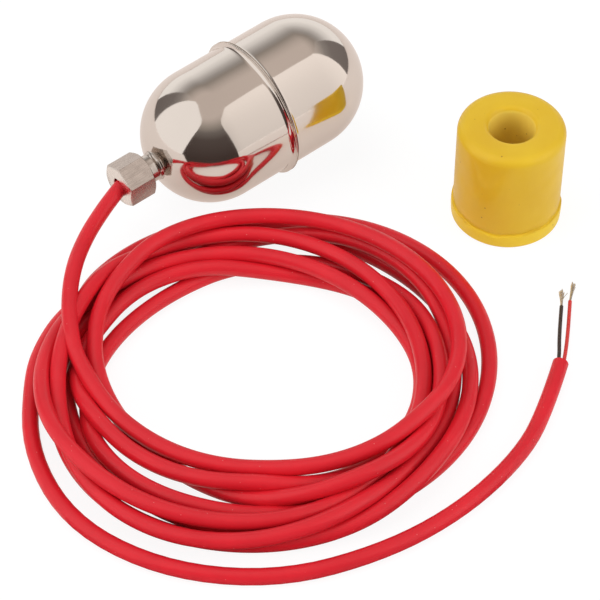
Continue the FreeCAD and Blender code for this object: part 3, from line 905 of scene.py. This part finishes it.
def part_of(tree, ray, share):
    """This share where the Light Path says that the ray is of this kind, and otherwise 0."""
    made = tree.nodes.new("ShaderNodeMath")
    made.operation = "MULTIPLY"
    made.inputs[1].default_value = share
    tree.links.new(ray, made.inputs[0])
    return made.outputs["Value"]


def blend(tree, factor, first, second):
    """A shader that goes from first to second as the factor goes from 0 to 1."""
    made = tree.nodes.new("ShaderNodeMixShader")
    tree.links.new(factor, made.inputs["Fac"])
    tree.links.new(first, made.inputs[1])
    tree.links.new(second, made.inputs[2])
    return made.outputs["Shader"]


def to_output(tree, kind, shader):
    """The shader goes to the output of a material or of the world."""
    tree.links.new(shader, tree.nodes.new(kind).inputs["Surface"])


def sheet(name, places, faces, material):
    """A thin piece of the stage through these places."""
    mesh = bpy.data.meshes.new(name)
    mesh.from_pydata(places, [], faces)
    mesh.materials.append(material)
    return placed(name, mesh)


def only_in_mirrors(piece):
    """The piece of the stage is there for polished surfaces alone."""
    piece.visible_camera = False
    piece.visible_diffuse = False
    piece.visible_shadow = False


def white_floor():
    """Matt white that still carries the shadows: part of it glows where it is seen or mirrored."""
    material = bpy.data.materials.new("White table")
    tree = bare_tree(material)
    path = tree.nodes.new("ShaderNodeLightPath")
    matt = tree.nodes.new("ShaderNodeBsdfDiffuse")
    matt.inputs["Color"].default_value = (0.9, 0.9, 0.9, 1.0)
    glow = plain_light(tree, "ShaderNodeEmission", (1.0, 1.0, 1.0), table_glow)
    dimmer = plain_light(tree, "ShaderNodeEmission", table_mirrored_colour)
    seen = blend(tree, part_of(tree, path.outputs["Is Camera Ray"], table_seen_share),
                 matt.outputs["BSDF"], glow)
    mirrored = blend(tree, part_of(tree, path.outputs["Is Glossy Ray"], table_mirrored_share),
                     seen, dimmer)
    to_output(tree, "ShaderNodeOutputMaterial", mirrored)
    quarters = [(-1, -1), (1, -1), (1, 1), (-1, 1)]
    corners = [(x * table_half, y * table_half, table_level) for x, y in quarters]
    sheet("table_top", corners, [(0, 1, 2, 3)], material)


def room_light():
    """Even light for matt surfaces. Polished ones mirror the room, and the camera sees white."""
    world = bpy.data.worlds.new("Studio")
    tree = bare_tree(world)
    place = tree.nodes.new("ShaderNodeTexCoord")
    split = tree.nodes.new("ShaderNodeSeparateXYZ")
    room = tree.nodes.new("ShaderNodeValToRGB")
    ramp = room.color_ramp
    while len(ramp.elements) < len(room_colours):
        ramp.elements.new(0.5)
    for element, (position, colour) in zip(ramp.elements, room_colours):
        element.position = position
        element.color = (*colour, 1.0)
    mirrored = tree.nodes.new("ShaderNodeBackground")
    path = tree.nodes.new("ShaderNodeLightPath")
    tree.links.new(place.outputs["Generated"], split.inputs["Vector"])
    tree.links.new(split.outputs["Z"], room.inputs["Fac"])
    tree.links.new(room.outputs["Color"], mirrored.inputs["Color"])
    even = plain_light(tree, "ShaderNodeBackground", (even_light,) * 3)
    white = plain_light(tree, "ShaderNodeBackground", (1.0, 1.0, 1.0))
    by_gloss = blend(tree, path.outputs["Is Glossy Ray"], even, mirrored.outputs["Background"])
    by_camera = blend(tree, path.outputs["Is Camera Ray"], by_gloss, white)
    to_output(tree, "ShaderNodeOutputWorld", by_camera)
    bpy.context.scene.world = world


def softbox(name, rows, fade, colour):
    """A lit cloth that only polished surfaces mirror. Rows of corners, each a bearing and a
    rise in degrees as seen from the float, from the foot up, and the brightness at each."""
    places = []
    for row in rows:
        for bearing, rise in row:
            b, e = math.radians(bearing), math.radians(rise)
            out = Vector((math.cos(b) * math.cos(e), math.sin(b) * math.cos(e), math.sin(e)))
            places.append(float_middle + cloth_distance * out)
    wide = len(rows[0])
    faces = []
    for n in range(0, wide * (len(rows) - 1), wide):
        for k in range(n, n + wide - 1):
            faces.append((k, k + 1, k + 1 + wide, k + wide))
    material = bpy.data.materials.new(name)
    tree = bare_tree(material)
    level = tree.nodes.new("ShaderNodeAttribute")
    level.attribute_name = "glow"
    clear = tree.nodes.new("ShaderNodeBsdfTransparent")
    lit = plain_light(tree, "ShaderNodeEmission", colour)
    cloth_shader = blend(tree, level.outputs["Fac"], clear.outputs["BSDF"], lit)
    to_output(tree, "ShaderNodeOutputMaterial", cloth_shader)
    cloth = sheet(name, places, faces, material)
    glow = cloth.data.attributes.new("glow", "FLOAT", "POINT")
    glow.data.foreach_set("value", [brightness for row in fade for brightness in row])
    only_in_mirrors(cloth)


def dark_apron():
    """In front of the set the table ends in a dark room, which only polished surfaces mirror."""
    places = []
    for bearing, out in ((200, 0.25), (194, 9.0), (278, 9.0), (272, 0.235)):
        b = math.radians(bearing)
        places.append((float_middle.x + out * math.cos(b), float_middle.y + out * math.sin(b), apron_level))
    material = bpy.data.materials.new("Dark apron")
    tree = bare_tree(material)
    dim = plain_light(tree, "ShaderNodeEmission", (0.060, 0.044, 0.038))
    to_output(tree, "ShaderNodeOutputMaterial", dim)
    only_in_mirrors(sheet("dark_apron", places, [(0, 1, 2, 3)], material))


def faced(thing, place, aim):
    """A lamp or a camera stands at this place and is turned to its aim."""
    thing.location = place
    thing.rotation_euler = (Vector(aim) - Vector(place)).to_track_quat("-Z", "Y").to_euler()


def broad_lamp(name, place, watts):
    """A square lamp that lights the set and isn't mirrored in it."""
    lamp = bpy.data.lights.new(name, "AREA")
    lamp.size = lamp_size
    lamp.energy = watts
    holder = placed(name, lamp)
    faced(holder, place, camera_target)
    holder.visible_glossy = False


def stand_camera():
    camera = placed("camera", bpy.data.cameras.new("camera"))
    level = camera_distance * math.cos(camera_rise)
    place = (camera_target[0] - level * math.sin(camera_heading),
             camera_target[1] - level * math.cos(camera_heading),
             camera_target[2] + camera_distance * math.sin(camera_rise))
    faced(camera, place, camera_target)
    camera.data.lens = lens_length
    camera.data.sensor_width = sensor_width
    bpy.context.scene.camera = camera


white_floor()
room_light()
softbox("softbox_left",
        [[(191, -1), (126, -1)], [(208, 45), (118, 57)], [(212, 55), (119, 69)], [(209, 63), (137, 74)]],
        [(1.0, 1.0), (1.0, 1.0), (1.0, 1.0), (0.94, 0.94)], (1.07, 1.02, 0.985))
softbox("softbox_right",
        [[(278, -1), (335, -1)], [(268, 43), (337, 52)], [(267, 52), (335, 62)], [(273, 59), (322, 66)]],
        [(0.67, 0.98), (0.71, 1.0), (0.69, 1.0), (0.66, 0.96)], (1.12, 1.035, 0.98))
softbox("back_cloth",
        [[(bearing, rise) for bearing in range(8, 101, 23)] for rise in (0, 15, 28, 50)],
        [(level,) * 5 for level in (1.0, 1.0, 0.75, 0.0)], (1.03, 1.0, 0.97))
softbox("dim_wall_left", [[(100, -1), (127, -1)], [(100, 50), (120, 69)]],
        [(0.12, 0.12), (0.12, 0.12)], dim_wall_colour)
softbox("dim_wall_right", [[(334, -1), (369, -1)], [(334, 60), (369, 50)]],
        [(0.14, 0.14), (0.14, 0.14)], dim_wall_colour)
dark_apron()
broad_lamp("lamp_above", (-0.25, 0.35, 1.5), 6.3)
broad_lamp("lamp_left", (-1.75, 0.42, 0.95), 15.3)
broad_lamp("lamp_right", (0.85, -1.58, 0.95), 15.3)
stand_camera()
bpy.context.scene.view_settings.view_transform = "Standard"
